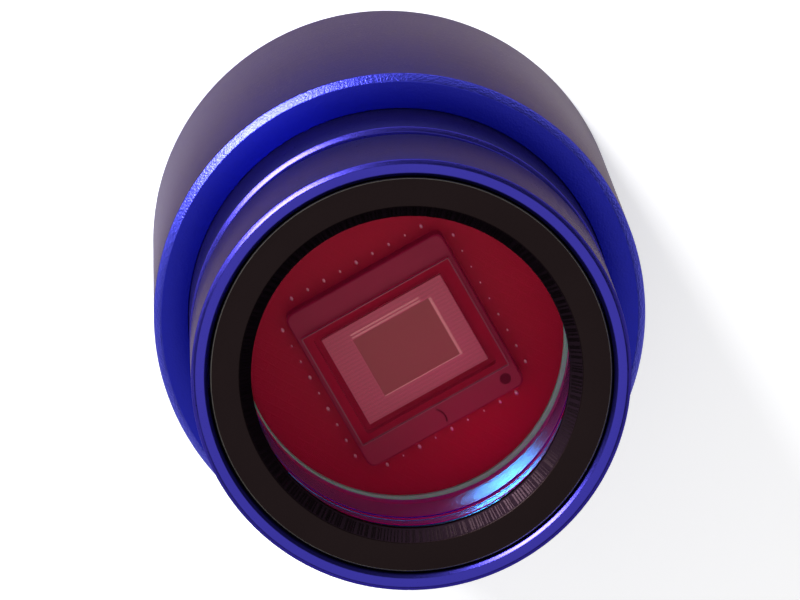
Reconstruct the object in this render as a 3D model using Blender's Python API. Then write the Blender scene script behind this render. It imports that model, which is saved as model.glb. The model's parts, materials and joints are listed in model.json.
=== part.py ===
"""Guide camera for a telescope: a push-in nose barrel screwed into a round body, a sealed window, an image
sensor on a stack of three boards, and a rear cover with a data socket and a guide socket.

Every piece is modelled along the optical axis: depth is counted from the nose rim towards the rear cover,
and x and y lie across it. One empty, optical_axis, stands the camera on its rear cover with its nose up and
the origin under the middle of the cover.
"""

import math

import bmesh
import bpy

MM = 0.001

# Nose barrel and body shell
NOSE_DIAMETER = 31.7 * MM
NOSE_LENGTH = 21.6 * MM
SHOULDER_STEP = 2.65 * MM
BODY_LENGTH = 31.4 * MM
RIM_WALL = 1.2 * MM
NOSE_WALL = 1.65 * MM
BODY_WALL = 2.0 * MM
RIM_CHAMFER = 0.25 * MM
SHOULDER_CHAMFER = 0.5 * MM
REAR_CHAMFER = 0.5 * MM
FRONT_WALL = 4.4 * MM
NOSE_CLEARANCE = 0.1 * MM
GROOVE_FROM_RIM = 10.6 * MM
GROOVE_WIDTH = 3.0 * MM
GROOVE_DEPTH = 0.9 * MM
GROOVE_CHAMFER = 0.25 * MM
WINDOW_LEDGE = 2.55 * MM
APERTURE_LENGTH = 8.4 * MM

# Window cell: retaining ring, gasket, glass and seal
RING_RECESS = 0.4 * MM
RING_THICKNESS = 1.6 * MM
RING_WIDTH = 2.85 * MM
RING_BEVEL = 0.9 * MM
RING_EDGE = 0.2 * MM
RING_CLEARANCE = 0.3 * MM
GASKET_THICKNESS = 0.3 * MM
GASKET_WIDTH = 2.4 * MM
GLASS_THICKNESS = 1.5 * MM
GLASS_EDGE = 0.15 * MM
GLASS_CLEARANCE = 0.3 * MM
SEAL_THICKNESS = 0.6 * MM
SEAL_WIDTH = 1.9 * MM

# Image sensor and its board
SENSOR_ROLL = math.radians(29.3)
SENSOR_DROP = 0.6 * MM
BOARD_THICKNESS = 1.6 * MM
BOARD_CLEARANCE = 0.3 * MM
BOARD_GASKET_THICKNESS = 0.5 * MM
BOARD_GASKET_LIP = 0.35 * MM
PACKAGE_SIDE = 13.1 * MM
PACKAGE_THICKNESS = 1.7 * MM
PACKAGE_CORNER = 0.6 * MM
CAVITY_WIDTH = 11.0 * MM
CAVITY_HEIGHT = 8.3 * MM
CAVITY_DEPTH = 1.1 * MM
DIE_WIDTH = 10.0 * MM
DIE_HEIGHT = 7.3 * MM
DIE_THICKNESS = 0.6 * MM
LID_WIDTH = 12.4 * MM
LID_HEIGHT = 9.3 * MM
LID_THICKNESS = 0.5 * MM

# Board stack behind the sensor: posts, plugs between boards, and what the boards carry
POST_X = 6.9 * MM
POST_HEIGHT = 9.2 * MM
POST_ACROSS_FLATS = 4.0 * MM
STUD_DIAMETER = 2.0 * MM
STUD_CLEARANCE = 0.15 * MM
STUD_GRIP = 2.4 * MM
HOLE_SPARE = 0.6 * MM
PLUG_WIDTH = 12.0 * MM
PLUG_HEIGHT = 3.6 * MM
PLUG_BODY = 2.5 * MM
IO_PLUG_WIDTH = 7.0 * MM
IO_PLUG_DROP = 9.5 * MM
PROCESSOR_SIDE = 9.0 * MM
PROCESSOR_THICKNESS = 1.2 * MM
PROCESSOR_X = -5.5 * MM
MEMORY_WIDTH = 8.0 * MM
MEMORY_HEIGHT = 6.0 * MM
MEMORY_THICKNESS = 1.0 * MM
MEMORY_X = 6.4 * MM
CRYSTAL_WIDTH = 5.0 * MM
CRYSTAL_HEIGHT = 3.2 * MM
CRYSTAL_THICKNESS = 1.3 * MM
CRYSTAL_RISE = 7.6 * MM
ISOLATOR_SIDE = 4.4 * MM
ISOLATOR_THICKNESS = 2.0 * MM
ISOLATOR_X = 5.2 * MM
ISOLATOR_RISE = 2.9 * MM
REGULATOR_WIDTH = 6.5 * MM
REGULATOR_HEIGHT = 3.5 * MM
REGULATOR_THICKNESS = 1.6 * MM
REGULATOR_RISE = 9.2 * MM
CAPACITOR_DIAMETER = 4.4 * MM
CAPACITOR_CLEARANCE = 2.6 * MM
CAPACITOR_CHAMFER = 0.4 * MM
CAPACITOR_EDGE = 2.4 * MM
CHIP_CORNER = 0.25 * MM

# Sockets in the rear cover
PORT_LENGTH = 15.4 * MM
PORT_RECESS = 0.1 * MM
PORT_GAP = 1.6 * MM
PORT_CLEARANCE = 0.2 * MM
USB_WALL = 0.5 * MM
USB_CORNER = 0.5 * MM
USB_MOUTH_WIDTH = 8.9 * MM
USB_MOUTH_HEIGHT = 8.2 * MM
USB_MOUTH_SLANT = 1.6 * MM
USB_MOUTH_DEPTH = 12.6 * MM
TONGUE_WIDTH = 5.6 * MM
TONGUE_HEIGHT = 3.2 * MM
TONGUE_LENGTH = 8.0 * MM
JACK_WIDTH = 13.2 * MM
JACK_HEIGHT = 11.6 * MM
JACK_CORNER = 0.4 * MM
JACK_MOUTH_WIDTH = 9.8 * MM
JACK_MOUTH_HEIGHT = 6.8 * MM
JACK_MOUTH_RISE = 0.9 * MM
JACK_MOUTH_DEPTH = 12.4 * MM
LATCH_WIDTH = 6.0 * MM
LATCH_HEIGHT = 1.6 * MM
CATCH_WIDTH = 3.2 * MM
CATCH_HEIGHT = 1.1 * MM
CONTACT_COUNT = 6
CONTACT_PITCH = 1.02 * MM
CONTACT_THICKNESS = 0.45 * MM
CONTACT_LENGTH = 7.5 * MM
CONTACT_DROP = 1.2 * MM
CONTACT_SETBACK = 2.2 * MM

# Rear cover and its screws
COVER_THICKNESS = 2.0 * MM
COVER_LIP = 1.2 * MM
COVER_CLEARANCE = 0.15 * MM
COVER_CHAMFER = 0.25 * MM
COVER_SEAL_THICKNESS = 0.5 * MM
SCREW_DIAMETER = 2.0 * MM
SCREW_HEAD_DIAMETER = 3.8 * MM
SCREW_HEAD_RECESS = 0.1 * MM
SCREW_GRIP = 3.6 * MM
SCREW_CLEARANCE = 0.15 * MM
DRIVE_WIDTH = 0.45 * MM
DRIVE_LENGTH = 2.0 * MM
DRIVE_DEPTH = 0.7 * MM

# Gaps between pieces that rest on each other, and how finely round pieces are divided
SEAT_GAP = 0.1 * MM
OVERSHOOT = 1.0 * MM
TURN_STEPS = 64
SMALL_STEPS = 12
CORNER_STEPS = 3

# Radii that follow from the driving sizes
NOSE_R = NOSE_DIAMETER / 2
BODY_R = NOSE_R + SHOULDER_STEP
RIM_BORE_R = NOSE_R - RIM_WALL
APERTURE_R = RIM_BORE_R - WINDOW_LEDGE
POCKET_R = NOSE_R - NOSE_WALL
NOSE_HOLE_R = NOSE_R + NOSE_CLEARANCE
BODY_BORE_R = BODY_R - BODY_WALL
COVER_RECESS_R = BODY_R - COVER_LIP
RING_R = RIM_BORE_R - RING_CLEARANCE
GLASS_R = RIM_BORE_R - GLASS_CLEARANCE
SENSOR_BOARD_R = POCKET_R - BOARD_CLEARANCE
BOARD_R = BODY_BORE_R - BOARD_CLEARANCE
COVER_R = COVER_RECESS_R - COVER_CLEARANCE
STUD_R = STUD_DIAMETER / 2
STUD_HOLE_R = STUD_R + STUD_CLEARANCE
SCREW_R = SCREW_DIAMETER / 2
SCREW_HEAD_R = SCREW_HEAD_DIAMETER / 2

# Stations along the axis, from the nose rim to the rear face
RING_FRONT = RING_RECESS
GASKET_FRONT = RING_FRONT + RING_THICKNESS + SEAT_GAP
GLASS_FRONT = GASKET_FRONT + GASKET_THICKNESS + SEAT_GAP
SEAL_FRONT = GLASS_FRONT + GLASS_THICKNESS + SEAT_GAP
LEDGE = SEAL_FRONT + SEAL_THICKNESS + SEAT_GAP
BOARD_SEAT = LEDGE + APERTURE_LENGTH
BOARD_GASKET_FRONT = BOARD_SEAT + SEAT_GAP
SENSOR_BOARD_FRONT = BOARD_GASKET_FRONT + BOARD_GASKET_THICKNESS + SEAT_GAP
SENSOR_BOARD_REAR = SENSOR_BOARD_FRONT + BOARD_THICKNESS
PACKAGE_FRONT = SENSOR_BOARD_FRONT - SEAT_GAP - PACKAGE_THICKNESS
SENSOR_POST_FRONT = SENSOR_BOARD_REAR + SEAT_GAP
SHOULDER = NOSE_LENGTH
MAIN_SEAT = SHOULDER + FRONT_WALL
MAIN_BOARD_FRONT = MAIN_SEAT + SEAT_GAP
MAIN_BOARD_REAR = MAIN_BOARD_FRONT + BOARD_THICKNESS
REAR = NOSE_LENGTH + BODY_LENGTH
COVER_FRONT = REAR - COVER_THICKNESS
COVER_SEAT = COVER_FRONT - COVER_SEAL_THICKNESS - 2 * SEAT_GAP
PORT_FACE = REAR - PORT_RECESS
PORT_FOOT = PORT_FACE - PORT_LENGTH
IO_BOARD_REAR = PORT_FOOT - SEAT_GAP
IO_BOARD_FRONT = IO_BOARD_REAR - BOARD_THICKNESS
CAPACITOR_LENGTH = IO_BOARD_FRONT - SEAT_GAP - MAIN_BOARD_REAR - CAPACITOR_CLEARANCE
GROOVE_REAR = GROOVE_FROM_RIM + GROOVE_WIDTH

# Sockets side by side, with the pair centred on the axis
USB_WIDTH = USB_MOUTH_WIDTH + 2 * USB_WALL
USB_HEIGHT = USB_MOUTH_HEIGHT + 2 * USB_WALL
PORT_SPAN = USB_WIDTH + PORT_GAP + JACK_WIDTH
USB_X = -PORT_SPAN / 2 + USB_WIDTH / 2
JACK_X = PORT_SPAN / 2 - JACK_WIDTH / 2

POST_PLACES = [(x, y) for y in (POST_HEIGHT, -POST_HEIGHT) for x in (-POST_X, POST_X)]


# Making and placing pieces


def clear_scene():
    for obj in list(bpy.data.objects):
        bpy.data.objects.remove(obj, do_unlink=True)


def finish(name, colour, roughness, metallic=0.0):
    """A material with the piece's colour, roughness and metallic value."""
    made = bpy.data.materials.new(name)
    made.use_nodes = True
    shader = made.node_tree.nodes["Principled BSDF"]
    shader.inputs["Base Color"].default_value = (*colour, 1.0)
    shader.inputs["Roughness"].default_value = roughness
    shader.inputs["Metallic"].default_value = metallic
    return made


def stand_axis():
    """The optical axis, with its start at the height of the nose rim: the rear cover is on the ground."""
    axis = bpy.data.objects.new("optical_axis", None)
    axis.location = (0, 0, REAR)
    bpy.context.scene.collection.objects.link(axis)
    return axis


def piece(name, mesh, material, x=0.0, y=0.0, depth=0.0, roll=0.0):
    """An object on the optical axis, moved across it by x and y and along it by depth."""
    obj = bpy.data.objects.new(name, mesh)
    obj.parent = bpy.data.objects["optical_axis"]
    obj.location = (x, y, -depth)
    obj.rotation_euler = (0, 0, roll)
    bpy.context.scene.collection.objects.link(obj)
    if material and not mesh.materials:
        mesh.materials.append(material)
    return obj


def mesh_from(bm, name):
    """Closes off a bmesh as a mesh with its faces pointing out and its round faces smooth."""
    bmesh.ops.recalc_face_normals(bm, faces=bm.faces)
    mesh = bpy.data.meshes.new(name)
    bm.to_mesh(mesh)
    bm.free()
    mesh.shade_smooth()
    mesh.set_sharp_from_angle(angle=math.radians(30))
    return mesh


def turned_mesh(name, outline, steps=TURN_STEPS):
    """A section of (radius, depth) points spun about the axis. Points at radius 0 close the piece there."""
    bm = bmesh.new()
    start = math.pi / steps
    corners = [
        bm.verts.new((r * math.cos(start), r * math.sin(start), -depth)) for r, depth in outline
    ]
    pairs = zip(outline, outline[1:] + outline[:1], corners, corners[1:] + corners[:1])
    edges = [bm.edges.new((a, b)) for p, q, a, b in pairs if p[0] > 0 or q[0] > 0]
    bmesh.ops.spin(
        bm, geom=corners + edges, cent=(0, 0, 0), axis=(0, 0, 1), angle=2 * math.pi, steps=steps,
        use_merge=True,
    )
    bmesh.ops.remove_doubles(bm, verts=bm.verts, dist=1e-7)
    return mesh_from(bm, name)


def ring_section(inner, outer, front, thickness):
    """A plain rectangular section, for washers and gaskets."""
    rear = front + thickness
    return [(inner, front), (outer, front), (outer, rear), (inner, rear)]


def slab_mesh(name, outline, thickness):
    """A flat outline of (x, y) points, extruded towards the rear."""
    bm = bmesh.new()
    face = bm.faces.new([bm.verts.new((x, y, 0)) for x, y in outline])
    grown = bmesh.ops.extrude_face_region(bm, geom=[face])
    moved = [v for v in grown["geom"] if isinstance(v, bmesh.types.BMVert)]
    bmesh.ops.translate(bm, verts=moved, vec=(0, 0, -thickness))
    return mesh_from(bm, name)


def arc(centre_x, centre_y, radius, start, end, steps):
    """Points along an arc from one angle to another, both included."""
    angles = [start + (end - start) * i / steps for i in range(steps + 1)]
    return [(centre_x + radius * math.cos(a), centre_y + radius * math.sin(a)) for a in angles]


def circle(radius, steps):
    return arc(0, 0, radius, math.pi / steps, 2 * math.pi - math.pi / steps, steps - 1)


def rectangle(width, height, corner=0.0):
    """An upright rectangle about the origin, with round corners where a corner radius is given."""
    if corner <= 0:
        return [(sx * width / 2, sy * height / 2) for sx, sy in ((-1, -1), (1, -1), (1, 1), (-1, 1))]
    x, y = width / 2 - corner, height / 2 - corner
    quarter = math.pi / 2
    points = []
    for turn, (cx, cy) in enumerate(((x, y), (-x, y), (-x, -y), (x, -y))):
        points += arc(cx, cy, corner, turn * quarter, (turn + 1) * quarter, CORNER_STEPS)
    return points


def combine(obj, other, operation):
    """Cuts or joins a helper to a piece. The helper stays in the file as a wire guide."""
    other.hide_render = True
    other.display_type = "WIRE"
    modifier = obj.modifiers.new(other.name, "BOOLEAN")
    modifier.operation = operation
    modifier.object = other


def cut(obj, name, mesh, **place):
    combine(obj, piece(name, mesh, None, **place), "DIFFERENCE")


# Nose barrel and body shell


def build_nose(blue):
    """The nose barrel: safety groove, window seat, bore and board pocket. Its rear end screws in."""
    outside = [
        (NOSE_R - RIM_CHAMFER, 0),
        (NOSE_R, RIM_CHAMFER),
        (NOSE_R, GROOVE_FROM_RIM),
        (NOSE_R - GROOVE_DEPTH, GROOVE_FROM_RIM),
        (NOSE_R - GROOVE_DEPTH, GROOVE_REAR),
        (NOSE_R - GROOVE_CHAMFER, GROOVE_REAR),
        (NOSE_R, GROOVE_REAR + GROOVE_CHAMFER),
        (NOSE_R, MAIN_SEAT),
    ]
    inside = [
        (POCKET_R, MAIN_SEAT),
        (POCKET_R, BOARD_SEAT),
        (APERTURE_R, BOARD_SEAT),
        (APERTURE_R, LEDGE),
        (RIM_BORE_R, LEDGE),
        (RIM_BORE_R, RIM_CHAMFER),
        (RIM_BORE_R + RIM_CHAMFER, 0),
    ]
    piece("nose_barrel", turned_mesh("nose_barrel", outside + inside), blue)


def build_shell(blue):
    """The body shell: shoulder with the nose's hole in it, round wall, and the rear cover's recess."""
    section = [
        (NOSE_HOLE_R, SHOULDER),
        (BODY_R - SHOULDER_CHAMFER, SHOULDER),
        (BODY_R, SHOULDER + SHOULDER_CHAMFER),
        (BODY_R, REAR - REAR_CHAMFER),
        (BODY_R - REAR_CHAMFER, REAR),
        (COVER_RECESS_R, REAR),
        (COVER_RECESS_R, COVER_SEAT),
        (BODY_BORE_R, COVER_SEAT),
        (BODY_BORE_R, MAIN_SEAT),
        (NOSE_HOLE_R, MAIN_SEAT),
    ]
    piece("body_shell", turned_mesh("body_shell", section), blue)


# Window cell


def build_window(black, rubber, glass):
    """Retaining ring, slip gasket, window glass and the seal that it is pressed on."""
    ring = [
        (RING_R - RING_EDGE, RING_FRONT),
        (RING_R, RING_FRONT + RING_EDGE),
        (RING_R, RING_FRONT + RING_THICKNESS),
        (RING_R - RING_WIDTH, RING_FRONT + RING_THICKNESS),
        (RING_R - RING_WIDTH, RING_FRONT + RING_BEVEL),
        (RING_R - RING_WIDTH + RING_BEVEL, RING_FRONT),
    ]
    pane = [
        (0, GLASS_FRONT),
        (GLASS_R - GLASS_EDGE, GLASS_FRONT),
        (GLASS_R, GLASS_FRONT + GLASS_EDGE),
        (GLASS_R, GLASS_FRONT + GLASS_THICKNESS),
        (0, GLASS_FRONT + GLASS_THICKNESS),
    ]
    gasket = ring_section(GLASS_R - GASKET_WIDTH, GLASS_R, GASKET_FRONT, GASKET_THICKNESS)
    seal = ring_section(GLASS_R - SEAL_WIDTH, GLASS_R, SEAL_FRONT, SEAL_THICKNESS)
    piece("retaining_ring", turned_mesh("retaining_ring", ring), black)
    piece("slip_gasket", turned_mesh("slip_gasket", gasket), rubber)
    piece("window_glass", turned_mesh("window_glass", pane), glass)
    piece("window_seal", turned_mesh("window_seal", seal), rubber)


# Image sensor


def build_sensor(mask, ceramic, silicon, glass, silicone):
    """The sensor board pressed on its gasket, and the sensor's package, chip and lid in front of it."""
    gasket = ring_section(
        APERTURE_R - BOARD_GASKET_LIP, SENSOR_BOARD_R, BOARD_GASKET_FRONT, BOARD_GASKET_THICKNESS
    )
    piece("board_gasket", turned_mesh("board_gasket", gasket), silicone)
    board = slab_mesh("sensor_board", circle(SENSOR_BOARD_R, TURN_STEPS), BOARD_THICKNESS)
    piece("sensor_board", board, mask, depth=SENSOR_BOARD_FRONT, roll=SENSOR_ROLL)

    frame = slab_mesh(
        "sensor_package", rectangle(PACKAGE_SIDE, PACKAGE_SIDE, PACKAGE_CORNER), PACKAGE_THICKNESS
    )
    place = {"y": -SENSOR_DROP, "roll": SENSOR_ROLL}
    package = piece("sensor_package", frame, ceramic, depth=PACKAGE_FRONT, **place)
    cavity = slab_mesh("cavity", rectangle(CAVITY_WIDTH, CAVITY_HEIGHT), CAVITY_DEPTH + OVERSHOOT)
    cut(package, "cavity", cavity, depth=PACKAGE_FRONT - OVERSHOOT, **place)

    die_front = PACKAGE_FRONT + CAVITY_DEPTH - SEAT_GAP - DIE_THICKNESS
    die = slab_mesh("sensor_die", rectangle(DIE_WIDTH, DIE_HEIGHT), DIE_THICKNESS)
    piece("sensor_die", die, silicon, depth=die_front, **place)
    lid_front = PACKAGE_FRONT - SEAT_GAP - LID_THICKNESS
    lid = slab_mesh("sensor_lid", rectangle(LID_WIDTH, LID_HEIGHT), LID_THICKNESS)
    piece("sensor_lid", lid, glass, depth=lid_front, **place)


# Board stack


def post_mesh(name, length, front_hole, rear_hole, rear_stud):
    """A hexagonal spacer with a threaded hole or a stud at its ends. Its front end is at depth 0."""
    hexagon = circle(POST_ACROSS_FLATS / 2 / math.cos(math.pi / 6), 6)
    post = piece("post", slab_mesh("post", hexagon, length), None)
    helpers = [post]
    round_outline = circle(STUD_HOLE_R, SMALL_STEPS)
    for depth, hole in ((-OVERSHOOT, front_hole), (length - rear_hole, rear_hole)):
        if hole:
            bore = piece("bore", slab_mesh("bore", round_outline, hole + OVERSHOOT), None, depth=depth)
            combine(post, bore, "DIFFERENCE")
            helpers.append(bore)
    if rear_stud:
        shank = slab_mesh("stud", circle(STUD_R, SMALL_STEPS), rear_stud + OVERSHOOT)
        stud = piece("stud", shank, None, depth=length - OVERSHOOT)
        combine(post, stud, "UNION")
        helpers.append(stud)
    bpy.context.view_layer.update()
    graph = bpy.context.evaluated_depsgraph_get()
    mesh = bpy.data.meshes.new_from_object(post.evaluated_get(graph))
    mesh.name = name
    for helper in helpers:
        bpy.data.objects.remove(helper, do_unlink=True)
    return mesh


def set_posts(name, mesh, material, depth):
    for number, (x, y) in enumerate(POST_PLACES, start=1):
        piece(f"{name}_{number}", mesh, material, x=x, y=y, depth=depth)


def drilled_board(name, material, depth):
    """A round board with a hole for each post's stud."""
    board = piece(name, slab_mesh(name, circle(BOARD_R, TURN_STEPS), BOARD_THICKNESS), material, depth=depth)
    hole = slab_mesh("stud_hole", circle(STUD_HOLE_R, SMALL_STEPS), BOARD_THICKNESS + 2 * OVERSHOOT)
    for number, (x, y) in enumerate(POST_PLACES, start=1):
        cut(board, f"{name}_hole_{number}", hole, x=x, y=y, depth=depth - OVERSHOOT)


def build_posts(steel):
    """Three tiers of four posts: sensor board to main board, main to socket board, socket board to cover."""
    stud = SEAT_GAP + BOARD_THICKNESS + SEAT_GAP + STUD_GRIP
    hole = STUD_GRIP + HOLE_SPARE
    sensor_length = MAIN_BOARD_FRONT - SEAT_GAP - SENSOR_POST_FRONT
    main_start = MAIN_BOARD_REAR + SEAT_GAP
    main_length = IO_BOARD_FRONT - SEAT_GAP - main_start
    cover_start = IO_BOARD_REAR + SEAT_GAP
    cover_length = COVER_FRONT - SEAT_GAP - cover_start
    screw_hole = SCREW_GRIP + HOLE_SPARE
    set_posts("sensor_post", post_mesh("sensor_post", sensor_length, 0, 0, stud), steel, SENSOR_POST_FRONT)
    set_posts("main_post", post_mesh("main_post", main_length, hole, 0, stud), steel, main_start)
    set_posts("cover_post", post_mesh("cover_post", cover_length, hole, screw_hole, 0), steel, cover_start)


def chip(name, width, height, thickness, material, x, y, depth):
    outline = rectangle(width, height, CHIP_CORNER)
    piece(name, slab_mesh(name, outline, thickness), material, x=x, y=y, depth=depth)


def build_boards(mask, chip_black, plastic, can, sleeve):
    """Main board and socket board, the plugs that join the three boards, and the larger components."""
    drilled_board("main_board", mask, MAIN_BOARD_FRONT)
    drilled_board("socket_board", mask, IO_BOARD_FRONT)

    plug_start = SENSOR_BOARD_REAR + SEAT_GAP
    socket_start = plug_start + PLUG_BODY + SEAT_GAP
    socket_length = MAIN_BOARD_FRONT - SEAT_GAP - socket_start
    outline = rectangle(PLUG_WIDTH, PLUG_HEIGHT)
    for name, start, length in (
        ("sensor_plug", plug_start, PLUG_BODY), ("sensor_plug_socket", socket_start, socket_length)
    ):
        piece(name, slab_mesh(name, outline, length), plastic, depth=start, roll=SENSOR_ROLL)

    on_main = MAIN_BOARD_REAR + SEAT_GAP
    io_socket_start = on_main + PLUG_BODY + SEAT_GAP
    io_socket_length = IO_BOARD_FRONT - SEAT_GAP - io_socket_start
    io_outline = rectangle(IO_PLUG_WIDTH, PLUG_HEIGHT)
    for name, start, length in (
        ("power_plug", on_main, PLUG_BODY), ("power_plug_socket", io_socket_start, io_socket_length)
    ):
        piece(name, slab_mesh(name, io_outline, length), plastic, y=-IO_PLUG_DROP, depth=start)

    chip("image_processor", PROCESSOR_SIDE, PROCESSOR_SIDE, PROCESSOR_THICKNESS, chip_black,
         PROCESSOR_X, 0, on_main)
    chip("frame_memory", MEMORY_WIDTH, MEMORY_HEIGHT, MEMORY_THICKNESS, chip_black, MEMORY_X, 0, on_main)
    chip("crystal_can", CRYSTAL_WIDTH, CRYSTAL_HEIGHT, CRYSTAL_THICKNESS, can, 0, CRYSTAL_RISE, on_main)

    under_io = IO_BOARD_FRONT - SEAT_GAP
    places = [(sx * ISOLATOR_X, sy * ISOLATOR_RISE) for sy in (1, -1) for sx in (-1, 1)]
    for number, (x, y) in enumerate(places, start=1):
        chip(f"guide_isolator_{number}", ISOLATOR_SIDE, ISOLATOR_SIDE, ISOLATOR_THICKNESS, chip_black,
             x, y, under_io - ISOLATOR_THICKNESS)
    chip("voltage_regulator", REGULATOR_WIDTH, REGULATOR_HEIGHT, REGULATOR_THICKNESS, chip_black,
         0, REGULATOR_RISE, under_io - REGULATOR_THICKNESS)
    radius = CAPACITOR_DIAMETER / 2
    section = [
        (0, 0),
        (radius - CAPACITOR_CHAMFER, 0),
        (radius, CAPACITOR_CHAMFER),
        (radius, CAPACITOR_LENGTH),
        (0, CAPACITOR_LENGTH),
    ]
    capacitor = turned_mesh("capacitor", section, 2 * SMALL_STEPS)
    reach = BOARD_R - CAPACITOR_EDGE - radius
    for number, x in enumerate((-reach, reach), start=1):
        piece(f"capacitor_{number}", capacitor, sleeve, x=x, depth=under_io - CAPACITOR_LENGTH)


# Sockets


def build_usb(steel, plastic):
    """The data socket: a folded metal shell with a mouth that has two slanted corners, and its tongue."""
    shell = piece(
        "usb_shell",
        slab_mesh("usb_shell", rectangle(USB_WIDTH, USB_HEIGHT, USB_CORNER), PORT_LENGTH),
        steel, x=USB_X, depth=PORT_FOOT,
    )
    x, y, slant = USB_MOUTH_WIDTH / 2, USB_MOUTH_HEIGHT / 2, USB_MOUTH_SLANT
    outline = [(-x, -y), (x, -y), (x, y - slant), (x - slant, y), (slant - x, y), (-x, y - slant)]
    mouth = slab_mesh("usb_mouth", outline, USB_MOUTH_DEPTH + OVERSHOOT)
    cut(shell, "usb_mouth", mouth, x=USB_X, depth=PORT_FACE - USB_MOUTH_DEPTH)
    tongue = slab_mesh("usb_tongue", rectangle(TONGUE_WIDTH, TONGUE_HEIGHT), TONGUE_LENGTH)
    piece("usb_tongue", tongue, plastic, x=USB_X, depth=PORT_FACE - USB_MOUTH_DEPTH + SEAT_GAP)


def build_guide_jack(plastic, gold):
    """The guide socket: a plastic jack with a stepped latch slot below, and sprung contact wires above."""
    outline = rectangle(JACK_WIDTH, JACK_HEIGHT, JACK_CORNER)
    jack = piece("guide_jack", slab_mesh("guide_jack", outline, PORT_LENGTH), plastic, x=JACK_X, depth=PORT_FOOT)
    x = JACK_MOUTH_WIDTH / 2
    top = JACK_MOUTH_RISE + JACK_MOUTH_HEIGHT / 2
    bottom = JACK_MOUTH_RISE - JACK_MOUTH_HEIGHT / 2
    latch, catch = bottom - LATCH_HEIGHT, bottom - LATCH_HEIGHT - CATCH_HEIGHT
    half = [(CATCH_WIDTH / 2, catch), (CATCH_WIDTH / 2, latch), (LATCH_WIDTH / 2, latch),
            (LATCH_WIDTH / 2, bottom), (x, bottom), (x, top)]
    mirrored = [(-px, py) for px, py in reversed(half)]
    mouth = slab_mesh("jack_mouth", half + mirrored, JACK_MOUTH_DEPTH + OVERSHOOT)
    back = PORT_FACE - JACK_MOUTH_DEPTH
    cut(jack, "jack_mouth", mouth, x=JACK_X, depth=back)

    wire = contact_mesh()
    first = JACK_X - (CONTACT_COUNT - 1) / 2 * CONTACT_PITCH
    for number in range(CONTACT_COUNT):
        piece(f"guide_contact_{number + 1}", wire, gold, x=first + number * CONTACT_PITCH,
              y=top - SEAT_GAP, depth=PORT_FACE - CONTACT_SETBACK)


def contact_mesh():
    """A sprung wire: it leaves the roof of the mouth at its front end and slopes down towards the back."""
    bm = bmesh.new()
    side = CONTACT_THICKNESS / 2
    profile = [
        (0, 0),
        (CONTACT_LENGTH, -CONTACT_DROP),
        (CONTACT_LENGTH, -CONTACT_DROP - CONTACT_THICKNESS),
        (0, -CONTACT_THICKNESS),
    ]
    face = bm.faces.new([bm.verts.new((-side, height, along)) for along, height in profile])
    grown = bmesh.ops.extrude_face_region(bm, geom=[face])
    moved = [v for v in grown["geom"] if isinstance(v, bmesh.types.BMVert)]
    bmesh.ops.translate(bm, verts=moved, vec=(2 * side, 0, 0))
    return mesh_from(bm, "guide_contact")


# Rear cover


def build_cover(blue, rubber, steel):
    """The rear cover in its recess, its seal, and four countersunk screws into the cover posts."""
    section = [
        (0, COVER_FRONT),
        (COVER_R, COVER_FRONT),
        (COVER_R, REAR - COVER_CHAMFER),
        (COVER_R - COVER_CHAMFER, REAR),
        (0, REAR),
    ]
    cover = piece("rear_cover", turned_mesh("rear_cover", section), blue)
    through = COVER_THICKNESS + 2 * OVERSHOOT
    for name, width, height, x in (
        ("usb_cutout", USB_WIDTH, USB_HEIGHT, USB_X), ("jack_cutout", JACK_WIDTH, JACK_HEIGHT, JACK_X)
    ):
        outline = rectangle(width + 2 * PORT_CLEARANCE, height + 2 * PORT_CLEARANCE, USB_CORNER)
        cut(cover, name, slab_mesh(name, outline, through), x=x, depth=COVER_FRONT - OVERSHOOT)

    head_face = REAR - SCREW_HEAD_RECESS
    head_foot = head_face - (SCREW_HEAD_R - SCREW_R)
    hole_r, sink_r = SCREW_R + SCREW_CLEARANCE, SCREW_HEAD_R + SCREW_CLEARANCE
    sunk_hole = [
        (0, COVER_FRONT - OVERSHOOT),
        (hole_r, COVER_FRONT - OVERSHOOT),
        (hole_r, head_foot),
        (sink_r, head_face),
        (sink_r, REAR + OVERSHOOT),
        (0, REAR + OVERSHOOT),
    ]
    screw = [
        (0, COVER_FRONT - SCREW_GRIP),
        (SCREW_R, COVER_FRONT - SCREW_GRIP),
        (SCREW_R, head_foot),
        (SCREW_HEAD_R, head_face),
        (0, head_face),
    ]
    hole_mesh = turned_mesh("screw_hole", sunk_hole, 2 * SMALL_STEPS)
    drive_mesh = slab_mesh("screw_drive", rectangle(DRIVE_LENGTH, DRIVE_WIDTH), DRIVE_DEPTH + OVERSHOOT)
    for number, (x, y) in enumerate(POST_PLACES, start=1):
        cut(cover, f"screw_hole_{number}", hole_mesh, x=x, y=y)
        body = piece(f"cover_screw_{number}", turned_mesh("cover_screw", screw, 2 * SMALL_STEPS), steel, x=x, y=y)
        for turn in (0, 1):
            cut(body, f"screw_drive_{number}_{turn}", drive_mesh, x=x, y=y,
                depth=head_face - DRIVE_DEPTH, roll=turn * math.pi / 2)

    seal = ring_section(
        BODY_BORE_R, COVER_R, COVER_SEAT + SEAT_GAP, COVER_SEAL_THICKNESS
    )
    piece("cover_seal", turned_mesh("cover_seal", seal), rubber)


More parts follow.
